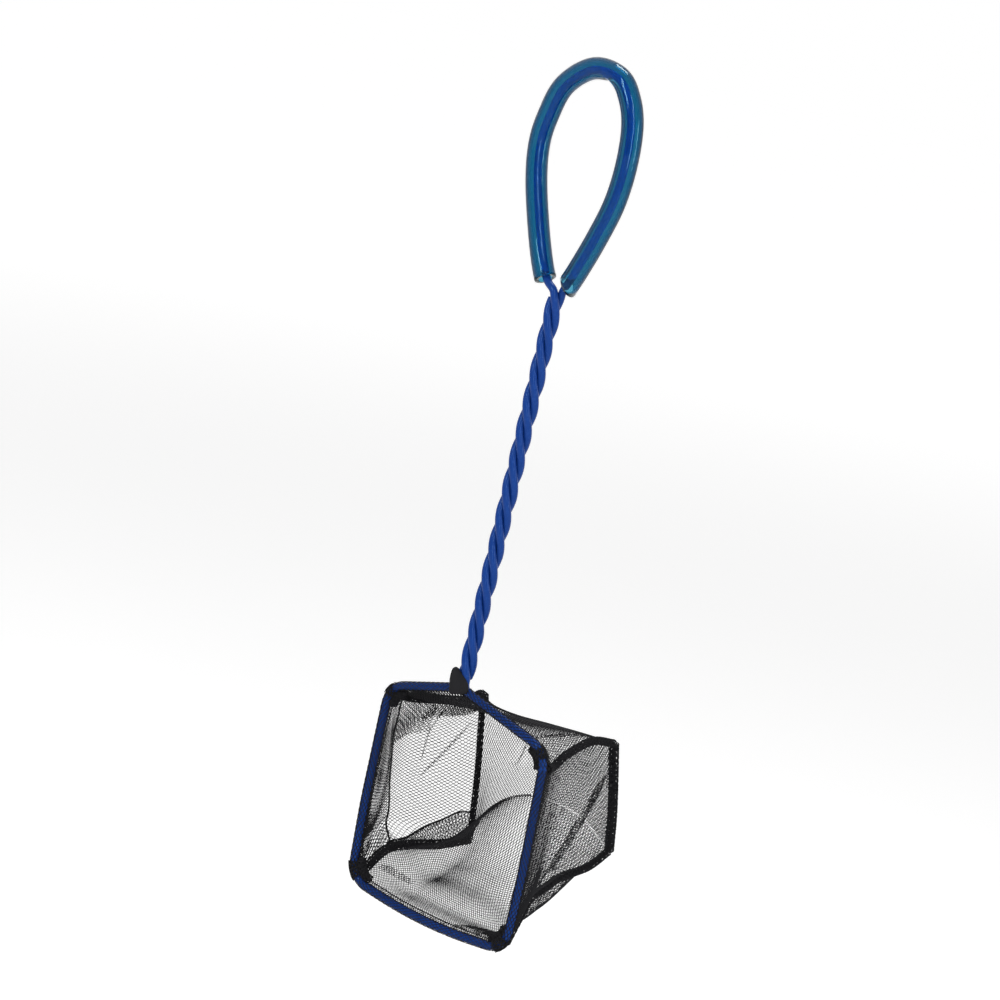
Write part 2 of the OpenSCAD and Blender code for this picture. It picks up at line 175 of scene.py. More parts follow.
softbox("key_softbox", side=-0.75, height=0.55, out=0.8, width=0.2, tall=0.6, power=5.5)
softbox("fill_softbox", side=0.95, height=0.15, out=0.5, width=0.2, tall=0.6, power=2.5)
softbox("top_softbox", side=0.1, height=1.0, out=-0.35, width=0.4, tall=0.3, power=3)
softbox("strip_lamp", side=0.16, height=0.25, out=0.85, width=0.14, tall=0.9, power=3)

# Blue wire. One steel wire with a dipped PVC skin starts at the stem's foot, climbs the
# stem, makes the hand loop, comes down the stem, goes round the square hoop and climbs
# the stem again, so that the stem is three strands with a left-handed lay.
wire_r = 1.4 * mm
core_r = 0.95 * mm
core_clear = 0.02 * mm
rim_share = 0.95
rim_round_share = 0.15
strand_gap = 0.06 * mm
stem_len = 142 * mm
stem_lean = 5.8 * mm
foot_bend_r = 2.8 * mm
foot_run = 1.4 * foot_bend_r
stem_turns = 4.5
loop_len = 76 * mm
loop_w = 38.8 * mm
loop_top_z = 3.2 * mm
hoop_w = 76 * mm
hoop_h = 71.4 * mm
hoop_rise = 9.4 * mm
hoop_shift = 4.5 * mm
corner_r = 9 * mm
side_bow = 0.8 * mm
bow_share = 0.6
low_bow = 4 * mm
bar_bend_r = 3 * hoop_h
wire_step = 0.8 * mm
wire_sides = 20
strand_steps = 180
loop_steps = 10
bend_steps = 13
last_strand_share = 0.982
blue_dip = (0.008, 0.042, 0.225, 1)
blue_rubbed = (0.014, 0.058, 0.28, 1)
# Painted light: the brighter blue that the wire is given under the grip tube.
blue_painted_lit = (0.008, 0.22, 0.86, 1)
tube_rise = 3.6 * mm
tube_slant = 4.4 * mm

depthwise = np.array([0.0, 1.0, 0.0])
junction = np.array([0, 0, loop_top_z - loop_len])
foot = junction - np.array([stem_lean, 0, stem_len])
wound_len = stem_len - foot_run
lay_slope = 4 * np.pi * wire_r / np.sqrt(3) / (wound_len / stem_turns)
strand_r = (2 * wire_r + strand_gap) / np.sqrt(3) / np.sqrt(1 - lay_slope ** 2 / 4)


def unit(v):
    """Vectors brought to length one, along the last axis."""
    return v / np.maximum(np.linalg.norm(v, axis=-1, keepdims=True), 1e-12)


def mix(a, b, t):
    """The point at share t of the way from a to b."""
    return a + (b - a) * t


def strand(angle, share):
    """A strand's centreline: foot + (junction - foot) rise + r (cos, sin), where the
    angle grows down the stem, by the number of turns, from its value at the junction."""
    turn = np.radians(angle) + 2 * np.pi * stem_turns * (1 - share)
    rise = (foot_run + share * wound_len) / stem_len
    ring = np.stack([np.cos(turn), np.sin(turn), 0 * turn], axis=-1)
    return mix(foot, junction, rise[:, None]) + strand_r * ring


def smooth(points, steps):
    """Catmull-Rom curve from the second of the points to the last but one."""
    a, b, c, d = (points[i:len(points) - 3 + i, None] for i in range(4))
    t = (np.arange(steps) / steps)[None, :, None]
    curve = 2 * b + (c - a) * t + (2 * a - 5 * b + 4 * c - d) * t ** 2
    curve = (curve + (3 * b - a - 3 * c + d) * t ** 3) / 2
    return np.concatenate([curve.reshape(-1, points.shape[1]), points[-2:-1]])


def bend(a, b, c, r, steps):
    """Arc of radius r that rounds the corner at b on the way from a to c."""
    u, w = unit(a - b), unit(c - b)
    half = np.arccos(u @ w) / 2
    t = np.linspace(half - np.pi / 2, np.pi / 2 - half, steps)[:, None]
    return b + unit(u + w) * r * (1 / np.sin(half) - np.cos(t)) + unit(w - u) * r * np.sin(t)


def run_lengths(line):
    """Length along a line of points, at each of them."""
    steps = np.linalg.norm(np.diff(line, axis=0), axis=1)
    return np.concatenate([[0], np.cumsum(steps)])


def at_share(line, share, values=None):
    """Points of a line, or values kept at them, at shares of its length, which may be
    an array of any shape."""
    s = run_lengths(line)
    columns = (line if values is None else values).T
    return np.stack([np.interp(share, s / s[-1], column) for column in columns], axis=-1)


def evened(line, step):
    """The same line with points a step apart, eased over its neighbours."""
    count = int(run_lengths(line)[-1] / step)
    even = at_share(line, np.linspace(0, 1, count + 1))
    even[1:-1] = (even[:-2] + 2 * even[1:-1] + even[2:]) / 4
    return even


def rings(line, radius, sides, reference):
    """Rings round a line: p + r (e cos a + f sin a), where e is square to the reference
    and to the line, and f to both."""
    ahead = unit(np.gradient(line, axis=0))
    e = unit(np.cross(reference, ahead))
    f = np.cross(ahead, e)
    a = np.linspace(0, 2 * np.pi, sides, endpoint=False)[None, :, None]
    r = np.broadcast_to(radius, (len(line),))[:, None, None]
    return line[:, None] + r * (e[:, None] * np.cos(a) + f[:, None] * np.sin(a))


def mesh_piece(name, points, faces, material, replaced=()):
    """A smooth mesh that rides on the object, from points and arrays of faces, each with
    faces of one size. It may replace solids, and its finish may belong to a slot."""
    mesh = bpy.data.meshes.new(name)
    mesh.vertices.add(len(points))
    mesh.vertices.foreach_set("co", np.ascontiguousarray(points, np.float32).ravel())
    corners = [np.asarray(f, np.int32) for f in faces if len(f)]
    sizes = np.concatenate([np.full(len(f), f.shape[1], np.int32) for f in corners])
    mesh.loops.add(int(sizes.sum()))
    mesh.loops.foreach_set("vertex_index", np.concatenate([f.ravel() for f in corners]))
    mesh.polygons.add(len(sizes))
    starts = np.concatenate([[0], np.cumsum(sizes)[:-1]]).astype(np.int32)
    mesh.polygons.foreach_set("loop_start", starts)
    mesh.polygons.foreach_set("use_smooth", np.ones(len(sizes), bool))
    mesh.update(calc_edges=True)
    mesh.validate()
    mesh.materials.append(material)
    piece = bpy.data.objects.new(name, mesh)
    scene.collection.objects.link(piece)
    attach(piece, "root")
    if replaced:
        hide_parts(*replaced)
    return piece


def pipe_faces(count, sides, closed):
    """Faces between successive rings, facing out: joined end to end, or with flat ends."""
    index = np.arange(count * sides).reshape(count, sides)
    a = index if closed else index[:-1]
    b = np.roll(index, -1, axis=0) if closed else index[1:]
    quads = np.stack([a, np.roll(a, -1, 1), np.roll(b, -1, 1), b], axis=-1).reshape(-1, 4)
    return [quads] if closed else [quads, index[:1, ::-1], index[-1:]]


hoop_x = foot[0] + hoop_shift
shoulder_z = foot[2] - hoop_rise
hoop_bottom_z = shoulder_z - hoop_h
bow_z = mix(shoulder_z, hoop_bottom_z, bow_share)
hoop_left, hoop_right = hoop_x - hoop_w / 2, hoop_x + hoop_w / 2

# Points of the hand loop, in shares of half its width and of its length. It leaves the
# depth of its two strands as it rises, and lies flat from the plane share on.
loop_shares = np.array([
    [-0.26, 0.05], [-0.6, 0.2], [-0.95, 0.44], [-1.07, 0.61], [-1, 0.745], [-0.77, 0.89],
    [-0.21, 0.99], [0.38, 0.98], [0.70, 0.90], [0.88, 0.785], [0.92, 0.62],
    [0.83, 0.445], [0.58, 0.265], [0.32, 0.12]])
plane_share = 0.3
lead_shares = np.array([0.95, 1])

# Places of the three strands round the stem, in degrees, at the junction.
front_angle, right_angle, end_angle = 270, 30, 150
wind = np.linspace(0, 1, strand_steps)
left_strand = strand(front_angle, wind)
right_strand = strand(right_angle, wind[::-1])
strand_y = np.where(loop_shares[:, 0] < 0, left_strand[-1, 1], right_strand[0, 1])
nearness = np.maximum(0, 1 - loop_shares[:, 1] / plane_share) ** 2
loop_points = np.stack([loop_shares[:, 0] * loop_w / 2, strand_y * nearness,
                        junction[2] + loop_shares[:, 1] * loop_len], axis=-1)
loop_lead = strand(front_angle, lead_shares)
loop_tail = strand(right_angle, lead_shares[::-1])
loop_line = smooth(np.concatenate([loop_lead, loop_points, loop_tail]), loop_steps)

left_end, right_end = right_strand[-1], strand(end_angle, wind[:1])[0]
hoop_keys = [
    left_end, np.array([left_end[0], left_end[1], foot[2]]),
    np.array([hoop_left, 0, shoulder_z]), np.array([hoop_left - side_bow, 0, bow_z]),
    np.array([hoop_left, 0, hoop_bottom_z]), np.array([hoop_x, 0, hoop_bottom_z - low_bow]),
    np.array([hoop_right, 0, hoop_bottom_z]),
    np.array([hoop_right + side_bow, 0, bow_z]), np.array([hoop_right, 0, shoulder_z]),
    np.array([right_end[0], right_end[1], foot[2]]), right_end]
hoop_radii = [foot_bend_r, corner_r, bar_bend_r, corner_r, bar_bend_r, corner_r,
              bar_bend_r, corner_r, foot_bend_r]
hoop_bends = [bend(hoop_keys[i], hoop_keys[i + 1], hoop_keys[i + 2], r, bend_steps)
              for i, r in enumerate(hoop_radii)]
wire_line = evened(np.concatenate([
    left_strand[:-1], loop_line[:-1], right_strand, *hoop_bends,
    strand(end_angle, last_strand_share * wind)]), wire_step)


def material_of(name, **values):
    """A material with one Principled shader, whose sockets take the plain values."""
    made = bpy.data.materials.new(name)
    made.use_nodes = True
    shader = made.node_tree.nodes["Principled BSDF"]
    for socket, value in values.items():
        shader.inputs[socket.replace("_", " ")].default_value = value
    return made, made.node_tree, shader


def skin_group():
    """Group of a smooth plastic skin: slow waves in its height, and a mask of fine rub
    marks, where a noise is above its middle."""
    tree = bpy.data.node_groups.new("plastic_skin", "ShaderNodeTree")
    for name, kind in (("Wave Scale", "INPUT"), ("Rub Scale", "INPUT"),
                       ("Wave", "OUTPUT"), ("Rub", "OUTPUT")):
        tree.interface.new_socket(name=name, in_out=kind, socket_type="NodeSocketFloat")
    start = tree.nodes.new("NodeGroupInput")
    end = tree.nodes.new("NodeGroupOutput")
    place = tree.nodes.new("ShaderNodeTexCoord")
    wave = tree.nodes.new("ShaderNodeTexNoise")
    wave.inputs["Detail"].default_value = 2
    rub = tree.nodes.new("ShaderNodeTexNoise")
    rub.inputs["Detail"].default_value = 6
    rub.inputs["Roughness"].default_value = 0.7
    edge = tree.nodes.new("ShaderNodeMapRange")
    edge.inputs["From Min"].default_value = 0.5
    edge.inputs["From Max"].default_value = 0.72
    tree.links.new(place.outputs["Object"], wave.inputs["Vector"])
    tree.links.new(place.outputs["Object"], rub.inputs["Vector"])
    tree.links.new(start.outputs["Wave Scale"], wave.inputs["Scale"])
    tree.links.new(start.outputs["Rub Scale"], rub.inputs["Scale"])
    tree.links.new(wave.outputs["Fac"], end.inputs["Wave"])
    tree.links.new(rub.outputs["Fac"], edge.inputs["Value"])
    tree.links.new(edge.outputs["Result"], end.inputs["Rub"])
    return tree


def skin_on(tree, shader, group, wave_scale, rub_scale, bump, smoothest, roughest):
    """Puts the plastic skin's waves on a shader's normal and its rub on the roughness."""
    skin = tree.nodes.new("ShaderNodeGroup")
    skin.node_tree = group
    skin.inputs["Wave Scale"].default_value = wave_scale
    skin.inputs["Rub Scale"].default_value = rub_scale
    height = tree.nodes.new("ShaderNodeBump")
    height.inputs["Strength"].default_value = bump
    height.inputs["Distance"].default_value = 0.2 * mm
    rough = tree.nodes.new("ShaderNodeMapRange")
    rough.inputs["To Min"].default_value = smoothest
    rough.inputs["To Max"].default_value = roughest
    tree.links.new(skin.outputs["Wave"], height.inputs["Height"])
    tree.links.new(height.outputs["Normal"], shader.inputs["Normal"])
    tree.links.new(skin.outputs["Rub"], rough.inputs["Value"])
    tree.links.new(rough.outputs["Result"], shader.inputs["Roughness"])
    return skin


plastic_skin = skin_group()
blue_skin, blue_tree, blue_shader = material_of(
    "blue_pvc_dip", Base_Color=blue_dip, Specular_IOR_Level=0.2,
    Specular_Tint=(0.4, 0.65, 1, 1))
blue_marks = skin_on(blue_tree, blue_shader, plastic_skin, wave_scale=260, rub_scale=900,
                     bump=0.25, smoothest=0.14, roughest=0.34)
blue_tones = blue_tree.nodes.new("ShaderNodeMix")
blue_tones.data_type = "RGBA"
blue_tones.inputs["A"].default_value = blue_dip
blue_tones.inputs["B"].default_value = blue_rubbed
# The attribute marks the skin under the grip tube, where the painted light's brighter blue goes.
painted_light_node = blue_tree.nodes.new("ShaderNodeAttribute")
painted_light_node.attribute_name = "painted_light_in_tube"
blue_all = blue_tree.nodes.new("ShaderNodeMix")
blue_all.data_type = "RGBA"
blue_all.inputs["B"].default_value = blue_painted_lit
blue_tree.links.new(blue_marks.outputs["Rub"], blue_tones.inputs["Factor"])
blue_tree.links.new(blue_tones.outputs["Result"], blue_all.inputs["A"])
blue_tree.links.new(painted_light_node.outputs["Fac"], blue_all.inputs["Factor"])
blue_tree.links.new(blue_all.outputs["Result"], blue_shader.inputs["Base Color"])

wire_outer = rings(wire_line, wire_r, wire_sides, depthwise)
wire_inner = rings(wire_line, core_r + core_clear, wire_sides, depthwise)
rim = rings(wire_line, rim_share * wire_r, wire_sides, depthwise)[[0, -1]]
wire_outer[0] = mix(wire_outer[0], wire_outer[1], rim_round_share)
wire_outer[-1] = mix(wire_outer[-1], wire_outer[-2], rim_round_share)
wire_skin = np.concatenate([rim[:1], wire_outer, rim[1:], wire_inner[::-1]]).reshape(-1, 3)
blue_wire = mesh_piece("blue_wire", wire_skin,
                       pipe_faces(len(wire_skin) // wire_sides, wire_sides, True), blue_skin,
                       ["wire_coating"])

# Painted light: under the grip tube the skin is painted a brighter blue, which stands in for
# light reaching the wire through the tinted wall.
painted_light_attribute = blue_wire.data.attributes.new("painted_light_in_tube", "FLOAT", "POINT")
painted_light_in_tube = wire_skin[:, 2] > junction[2] + tube_rise + tube_slant / 2
painted_light_attribute.data.foreach_set("value", painted_light_in_tube.astype(np.float32))

# Steel core. Drawn steel wire, which makes the net stiff, fills the blue skin from one
# end to the other, and shows only at the two cut ends.
steel, steel_tree, steel_shader = material_of(
    "drawn_steel", Base_Color=(0.55, 0.55, 0.54, 1), Metallic=1.0, Roughness=0.35)
draw_lines = steel_tree.nodes.new("ShaderNodeTexNoise")
draw_lines.inputs["Scale"].default_value = 1500
draw_rough = steel_tree.nodes.new("ShaderNodeMapRange")
draw_rough.inputs["To Min"].default_value = 0.28
draw_rough.inputs["To Max"].default_value = 0.6
steel_tree.links.new(draw_lines.outputs["Fac"], draw_rough.inputs["Value"])
steel_tree.links.new(draw_rough.outputs["Result"], steel_shader.inputs["Roughness"])
core_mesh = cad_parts["wire_core"].data
core_mesh.materials.clear()
core_mesh.materials.append(steel)

# Grip tube. Clear blue-green vinyl tube, threaded loose over the hand loop, so that the
# wire lies against its inner side and shows through, with the wall's colour at the edges.
tube_r = 3.8 * mm
tube_bore_r = 2.4 * mm
tube_sit = 0.6 * mm
tube_right_rise = 3.0 * mm
tube_sides = 40
tube_tint = (0.12, 0.63, 0.755, 1)
tint_density = 2000
pinch_share = 0.534
pinch_depth = 1.35 * mm
pinch_reach = 2.4 * mm

loop_even = evened(loop_line, wire_step)
tube_end = np.where(loop_even[:, 0] < 0, tube_rise, tube_right_rise)
tube_wire = loop_even[loop_even[:, 2] > junction[2] + tube_end]
tube_out = -unit(np.cross(depthwise, unit(np.gradient(tube_wire, axis=0))))
tube_line = tube_wire + tube_out * tube_sit


def cut_slanting(ring_grid, line, radius):
    """Slides the last ring along the tube so that its outer side is the longer one."""
    ahead = unit(line[-1] - line[-2])
    side = unit(np.cross(depthwise, ahead))
    share = (ring_grid[-1] - line[-1]) @ side / radius
    ring_grid[-1] -= ahead * (tube_slant / 2 * share)[:, None]
    return ring_grid


def pinched(ring_grid, line, outwards, radius):
    """Dents the inner side where the loop bends most, by depth exp(-distance / reach)."""
    s = run_lengths(line)
    dent = pinch_depth * np.exp(-np.abs(s - pinch_share * s[-1]) / pinch_reach)
    away = ((line[:, None] - ring_grid) * outwards[:, None]).sum(-1) / radius
    push = dent[:, None] * np.maximum(away, 0) ** 2
    return ring_grid + push[..., None] * outwards[:, None]


tube_outer = pinched(rings(tube_line, tube_r, tube_sides, depthwise), tube_line, tube_out, tube_r)
tube_outer = cut_slanting(tube_outer, tube_line, tube_r)
tube_inner = cut_slanting(rings(tube_line, tube_bore_r, tube_sides, depthwise), tube_line, tube_r)
tube_skin = np.concatenate([tube_outer, tube_inner[::-1]])
vinyl, vinyl_tree, vinyl_shader = material_of(
    "tinted_vinyl", Base_Color=(1, 1, 1, 1), Transmission_Weight=1.0, IOR=1.42,
    Specular_Tint=(0.35, 0.8, 0.95, 1))
vinyl_depth = vinyl_tree.nodes.new("ShaderNodeVolumeAbsorption")
vinyl_depth.inputs["Color"].default_value = tube_tint
vinyl_depth.inputs["Density"].default_value = tint_density
vinyl_tree.links.new(vinyl_depth.outputs["Volume"],
                     vinyl_tree.nodes["Material Output"].inputs["Volume"])
skin_on(vinyl_tree, vinyl_shader, plastic_skin, wave_scale=120, rub_scale=500,
        bump=0.15, smoothest=0.03, roughest=0.10)
mesh_piece("grip_tube_vinyl", tube_skin.reshape(-1, 3),
           pipe_faces(len(tube_skin), tube_sides, True), vinyl,
           ["grip_tube"])

# Net strip. Black polyester net is knitted in six-sided holes: pairs of threads run side
# by side up a wale, part, and join their other neighbours. One strip, hemmed round the
# top bar, makes the top wall, the back wall and the bottom wall.
net_pitch = 1.3 * mm
level_share = 0.866
wale_share = 0.55
thread_w = 0.21 * mm
thread_tall = 1.2
knit_scatter = 0.035
hem_back = 2.1 * mm
hem_out = 0.5 * mm
yarn_black = (0.010, 0.010, 0.012, 1)
rng = np.random.default_rng(11)


def yarn(points, normals, width, height, keep):
    """Four-sided threads along rows of points (threads, points, 3): each ring has a
    corner to each side, at width, and one above and below, at height."""
    ahead = unit(np.gradient(points, axis=1))
    side = unit(np.cross(normals, ahead))
    lift = np.cross(ahead, side)
    corners = np.stack([points + side * width / 2, points + lift * height / 2,
                        points - side * width / 2, points - lift * height / 2], axis=2)
    index = np.arange(corners[..., 0].size).reshape(corners.shape[:3])
    joined = keep[:, :-1] & keep[:, 1:]
    a, b = index[:, :-1][joined], index[:, 1:][joined]
    quads = np.stack([a, b, np.roll(b, -1, 1), np.roll(a, -1, 1)], axis=-1).reshape(-1, 4)
    used, renumbered = np.unique(quads, return_inverse=True)
    return corners.reshape(-1, 3)[used], renumbered.reshape(-1, 4)


def normals_of(surface, u, v, step=0.004):
    """Unit normals of a surface: the slope across u crossed with the slope along v."""
    across = surface(np.minimum(u + step, 1), v) - surface(np.maximum(u - step, 0), v)
    along = surface(u, np.minimum(v + step, 1)) - surface(u, np.maximum(v - step, 0))
    return unit(np.cross(across, along))


def knit(surface, widths, depth, pitch=net_pitch, width=thread_w, phase=0.0):
    """Net over a surface of u across and v in depth. Thread n swings a quarter of the
    pitch, less half its width, to either side of n half pitches, and runs straight at
    each wale. Its height is its width times thread_tall. Widths are the cut's at the
    front and at the back, so that threads end at its slanting sides."""
    level_h = level_share * pitch
    count = int(np.ceil(max(widths) / pitch * 2)) + 2
    levels = int(np.ceil(depth / level_h)) + 2
    n = np.arange(count)[:, None, None]
    k = np.arange(levels)[None, :, None]
    part = np.array([0.0, wale_share])[None, None, :]
    swing = np.where((n + k) % 2 == 0, 1, -1) * (pitch / 4 - width / 2)
    x = (n - (count - 1) / 2) * pitch / 2 + swing + 0 * part
    y = (k - 0.5 + phase + part) * level_h + 0 * n
    x, y = (a.reshape(count, -1) for a in (x, y))
    x = x + rng.normal(0, knit_scatter * pitch, x.shape)
    y = y + rng.normal(0, knit_scatter * pitch, y.shape)
    v = y / depth
    u = 0.5 + x / mix(widths[0], widths[1], v)
    keep = (u > 0) & (u < 1) & (v > 0) & (v < 1)
    u, v = np.clip(u, 0, 1), np.clip(v, 0, 1)
    return yarn(surface(u, v), normals_of(surface, u, v), width, thread_tall * width, keep)


def coons(front, back, left, right):
    """Surface between four edge lines: the two ruled surfaces between facing edges,
    added, less the one between the four corners. u runs along front and back."""
    def surface(u, v):
        u3, v3 = u[..., None], v[..., None]
        ruled = mix(at_share(front, u), at_share(back, u), v3)
        ruled = ruled + mix(at_share(left, v), at_share(right, v), u3)
        near = mix(front[0], front[-1], u3)
        far = mix(back[0], back[-1], u3)
        return ruled - mix(near, far, v3)
    return surface


def ease(t):
    """Nothing below zero, one above one, and 3 t^2 - 2 t^3 between them."""
    t = np.clip(t, 0, 1)
    return t * t * (3 - 2 * t)


def ridge(t, peak, soft=0.12):
    """A roof of height one over its peak, straight to both ends, rounded at the top."""
    up, down = t / peak, (1 - t) / (1 - peak)
    return -soft * np.log(np.exp(-up / soft) + np.exp(-down / soft))


def swelling(direction, height, peak, near, far, sideways=False):
    """Swell of a wall: height times a ridge across it, eased in from its near edge and
    out to its far one, where a greater near or far makes a shorter ease. Sideways, the
    ridge runs across the depth."""
    def swell(u, v):
        across, along = (v, u) if sideways else (u, v)
        rise = ridge(across, peak) * ease(near * along) * ease(far * (1 - along)) * height
        return rise[..., None] * direction
    return swell


def creased(surface, size, swell, folds):
    """A wall with its swell, a vector for each u and v, and its folds. A fold runs along
    a line in shares of the wall. Across it the net slides by overlap tanh(a / narrow),
    dying away, so that it lies in three layers, which part by the rise."""
    span = np.array(size)

    def swollen(u, v):
        return surface(u, v) + swell(u, v)

    def wall(u, v):
        place = np.stack([u, v], axis=-1) * span
        slide, lift = 0 * place, 0 * u
        to_edge = np.minimum(place, span - place).min(axis=-1)
        for start, end, overlap, narrow, rise in folds:
            start_at, run = np.array(start) * span, (np.array(end) - np.array(start)) * span
            length = np.linalg.norm(run)
            along = run / length
            square = np.array([-along[1], along[0]])
            a = (place - start_at) @ square
            s = (place - start_at) @ along / length
            fade = ease(np.minimum(s, 1 - s) / 0.25) * ease(to_edge / (1.2 * overlap))
            push = overlap * np.tanh(a / narrow) * np.exp(-(a / (8 * narrow)) ** 2) * fade
            slide = slide - push[..., None] * square
            lift = lift - (rise * np.tanh(2 * a / narrow) * fade
                           * np.exp(-(a / (2 * narrow)) ** 2))
        u2, v2 = np.moveaxis(np.clip((place + slide) / span, 0, 1), -1, 0)
        return swollen(u2, v2) + lift[..., None] * normals_of(swollen, u2, v2)
    return wall


def outward(line):
    """Direction out of the hoop, square to its wire, at each point of a line."""
    square = unit(np.cross(depthwise, np.gradient(line, axis=0)))
    return square * np.sign((square * (line - hoop_middle)).sum(-1, keepdims=True))


def hem_edge(bar):
    """Where a wall leaves its hem: behind the bar, and a little outside its middle."""
    return bar + depthwise * hem_back + outward(bar) * hem_out


def through(points, steps=12):
    """Smooth line through given points."""
    keys = np.array(points)
    first, last = 2 * keys[:1] - keys[1:2], 2 * keys[-1:] - keys[-2:-1]
    return smooth(np.concatenate([first, keys, last]), steps)


hoop_middle = np.array([hoop_x, 0, mix(shoulder_z, hoop_bottom_z, 0.5)])

# The seams start at these shares of the hoop's corner bends, and part the bars there.
seam_start_shares = {1: 0.5, 3: 0.5, 5: 0.5, 7: 0.15}
before, after = {}, {}
for number, share in seam_start_shares.items():
    cut = int(share * (len(hoop_bends[number]) - 1))
    before[number], after[number] = hoop_bends[number][:cut + 1], hoop_bends[number][cut:]
left_bar = evened(np.concatenate([after[1], hoop_bends[2], before[3]]), wire_step)
low_bar = evened(np.concatenate([after[3], hoop_bends[4], before[5]]), wire_step)
right_bar = evened(np.concatenate([after[5], hoop_bends[6], before[7]]), wire_step)[::-1]
top_bar = evened(np.concatenate([before[1][::-1], hoop_bends[0][-1:], hoop_bends[8][:1],
                                 after[7][::-1]]), wire_step)
left_hem, low_hem, right_hem, top_hem = (
    hem_edge(bar) for bar in (left_bar, low_bar, right_bar, top_bar))

back_top_left = np.array([-33.0, 43.0, -227.2]) * mm
back_top_right = np.array([30.6, 43.0, -225.2]) * mm
back_low_left = np.array([-33.4, 52.6, -283.0]) * mm
back_low_right = np.array([30.5, 53.0, -265.5]) * mm
seam_top_left = through([left_hem[0], *np.array([
    [-37.2, 8.8, -228.2], [-35.3, 23.4, -228.9], [-33.7, 36.7, -229.2]]) * mm, back_top_left])
seam_top_right = through([right_hem[0], *np.array([
    [34.6, 8.0, -230.5], [33.6, 15.0, -226.8], [32.0, 29.0, -223.2]]) * mm, back_top_right])
seam_low_left = through([left_hem[-1], *np.array([
    [-36.8, 12.2, -285.3], [-35.7, 23.7, -283.8], [-34.4, 38.5, -284.2]]) * mm, back_low_left])
seam_low_right = through([right_hem[-1], *np.array([
    [35.3, 6.0, -284.5], [34.4, 10.5, -278.5], [33.5, 18.3, -275.4], [32.8, 27.0, -272.3],
    [31.5, 42.0, -270.2]]) * mm, back_low_right])
seam_back_left = through([back_top_left, *np.array([
    [-32.3, 44.5, -238.6], [-32.6, 48.5, -257.9]]) * mm, back_low_left])
seam_back_right = through([back_top_right, *np.array([
    [31.4, 45.5, -237.0], [31.7, 49.0, -251.5]]) * mm, back_low_right])
fold_top = through([back_top_left, *np.array([
    [-27.0, 43.5, -229.6], [-15.0, 43.5, -229.6], [0.0, 43.5, -228.0],
    [16.8, 43.2, -226.3]]) * mm, back_top_right])
fold_low = through([back_low_left, *np.array([
    [-30.0, 53.5, -272.5], [-23.4, 54.0, -265.0], [-15.0, 54.2, -260.0],
    [-5.0, 54.4, -257.6], [14.0, 54.2, -258.5]]) * mm, back_low_right])

yarn_material = material_of("black_polyester_net", Base_Color=yarn_black, Roughness=0.6,
                            Specular_IOR_Level=0.15)[0]
upwards = np.array([0, 0, 1.0])
rightwards = np.array([1.0, 0, 0])

top_size = (78 * mm, 44 * mm)
back_size = (66 * mm, 42 * mm)
bottom_size = (76 * mm, 72 * mm)
sag_middle = 12 * mm
sag_right = 2.5 * mm
top_wall = creased(
    coons(top_hem, fold_top, seam_top_left, seam_top_right), top_size,
    swelling(upwards, -3 * mm, peak=0.35, near=4, far=3),
    [((0.80, 0.15), (0.97, 0.9), 1.5 * mm, 0.6 * mm, 0.4 * mm),
     ((0.35, 0.75), (0.75, 0.85), 1.5 * mm, 0.6 * mm, 0.4 * mm)])
back_wall = creased(
    coons(fold_top, fold_low, seam_back_left, seam_back_right), back_size,
    swelling(depthwise, 2 * mm, peak=0.5, near=2, far=2),
    [((0.36, 0.3), (0.30, 0.6), 0.8 * mm, 0.4 * mm, 0.3 * mm)])


def bag_sag(u, v):
    """Sag of the bottom wall: a product of eases from its edges, down steeply behind the
    hem and deepest halfway, and a smaller one beside the right edge."""
    middle = sag_middle * ease(3 * u) * ease(9 * (1 - u)) * ease(2.2 * (1 - v))
    middle = middle * mix(ease(2 * v), ease(5 * v), 0.4)
    right = sag_right * ease(14 * (1 - u)) * ease(3 * (u - 0.6))
    right = right * ease(3 * v) * ease(5 * (1 - v))
    return -(middle + right)[..., None] * upwards


bottom_wall = creased(
    coons(low_hem, fold_low, seam_low_left, seam_low_right), bottom_size, bag_sag, [])


def gathered_bottom(u, v):
    """The bottom wall with its net drawn together at the hem: v becomes v (0.6 + 0.4 v)."""
    return bottom_wall(u, v * (0.6 + 0.4 * v))


def net_wall(name, surface, size, back_share, node, pitch=net_pitch, width=thread_w):
    """A wall of net, cut to a width and a depth, and to a share of the width at its back."""
    points, quads = knit(surface, (size[0], back_share * size[0]), size[1], pitch, width)
    piece = mesh_piece(name, points, [quads], yarn_material, [node])


net_wall("top_wall_net", top_wall, top_size, 0.84, "net_top")
net_wall("back_wall_net", back_wall, back_size, 1.0, "net_back", 0.88 * net_pitch)
net_wall("bottom_wall_net", gathered_bottom, bottom_size, 0.84, "net_bottom",
         0.8 * net_pitch, 1.22 * thread_w)

# Side walls. Each is a piece of the same net, hemmed round a side bar of the hoop. It
# slackens outwards behind its hem, turns, and runs in to its seams.
side_size = (70 * mm, 54 * mm)
left_wall = creased(
    coons(left_hem, seam_back_left, seam_top_left, seam_low_left), side_size,
    swelling(rightwards, -7.5 * mm, peak=0.42, near=3.5, far=7, sideways=True),
    [((0.14, 0.93), (0.60, 0.54), 1.3 * mm, 0.5 * mm, 0.3 * mm),
     ((0.05, 0.62), (0.50, 0.55), 0.9 * mm, 0.4 * mm, 0.3 * mm)])
right_wall = creased(
    coons(right_hem, seam_back_right, seam_top_right, seam_low_right), side_size,
    swelling(rightwards, 2 * mm, peak=0.5, near=3, far=3, sideways=True),
    [((0.20, 0.94), (0.92, 0.25), 4 * mm, 1.1 * mm, 0.5 * mm),
     ((0.05, 0.92), (0.45, 0.93), 1.2 * mm, 0.5 * mm, 0.3 * mm)])
net_wall("left_wall_net", left_wall, side_size, 0.82, "net_left", 1.05 * net_pitch)
net_wall("right_wall_net", right_wall, side_size, 0.62, "net_right", 0.8 * net_pitch,
         0.93 * thread_w)

